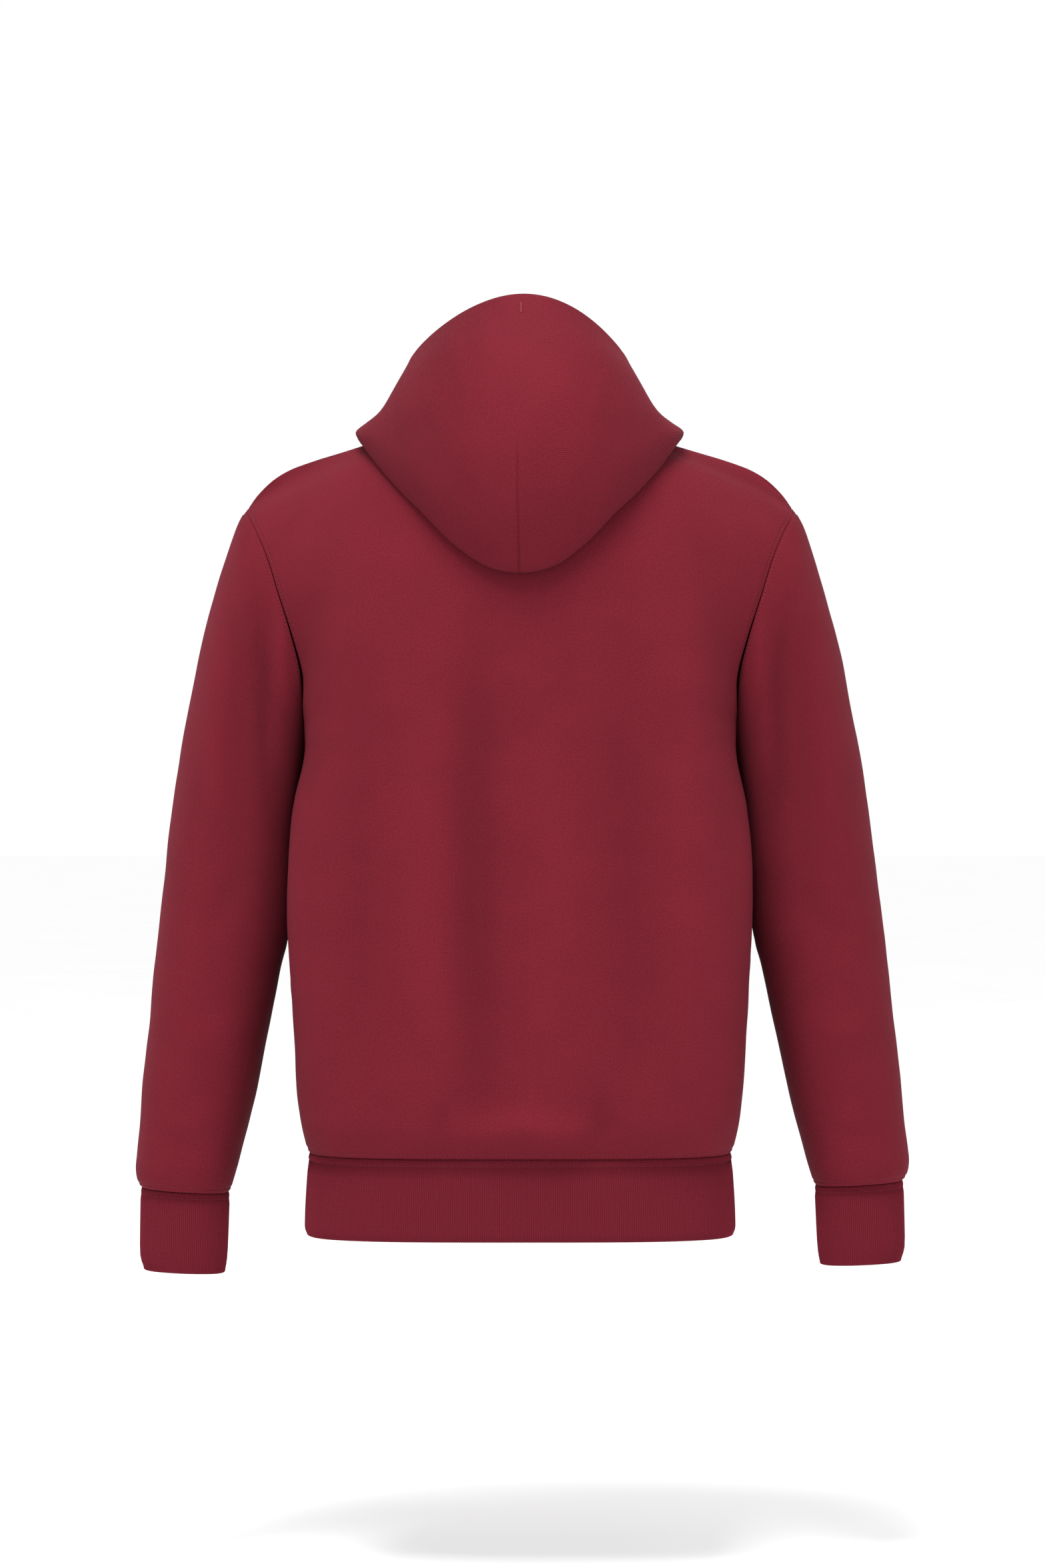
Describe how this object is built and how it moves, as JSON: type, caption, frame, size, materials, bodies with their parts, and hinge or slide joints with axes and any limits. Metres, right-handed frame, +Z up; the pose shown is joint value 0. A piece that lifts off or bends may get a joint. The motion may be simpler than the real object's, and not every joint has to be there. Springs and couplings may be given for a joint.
{
  "type": "zip up hoodie",
  "caption": "Long-sleeved zip up hoodie in brushed knit, filled out as when worn, hood turned down behind the neck, ribbed cuffs and waistband, front zip closed.",
  "frame": {"origin": "on the middle plane between the shoulders, level with the place where they carry the garment", "axes": "+Z up, -Y out of the front, +X to the wearer's left"},
  "size_m": [0.6564, 0.3055, 0.8185],
  "materials": {
    "brushed_knit": "matt brushed cotton knit, deep red",
    "rib_knit": "matt 1x1 rib knit, deep red",
    "zip_tape": "woven tape, deep red",
    "zip_metal": "dull dark metal"
  },
  "bodies": {
    "garment": {"back_panel": "brushed_knit", "front_left": "brushed_knit", "front_right": "brushed_knit", "sleeve_left": "brushed_knit", "sleeve_right": "brushed_knit", "hood": "brushed_knit", "waistband": "rib_knit", "cuff_left": "rib_knit", "cuff_right": "rib_knit", "zip_tape_left": "zip_tape", "zip_tape_right": "zip_tape", "zip_chain": "zip_metal", "zip_box": "zip_metal", "zip_slider": "zip_metal"},
    "pull": {"zip_pull": "zip_metal"}
  },
  "joints": [
    {"name": "pull_swing", "type": "hinge", "parent": "garment", "child": "pull", "pos_m": [0, -0.12808, -0.09795], "axis": [-1, 0, 0], "range_deg": [0, 140]}
  ]
}
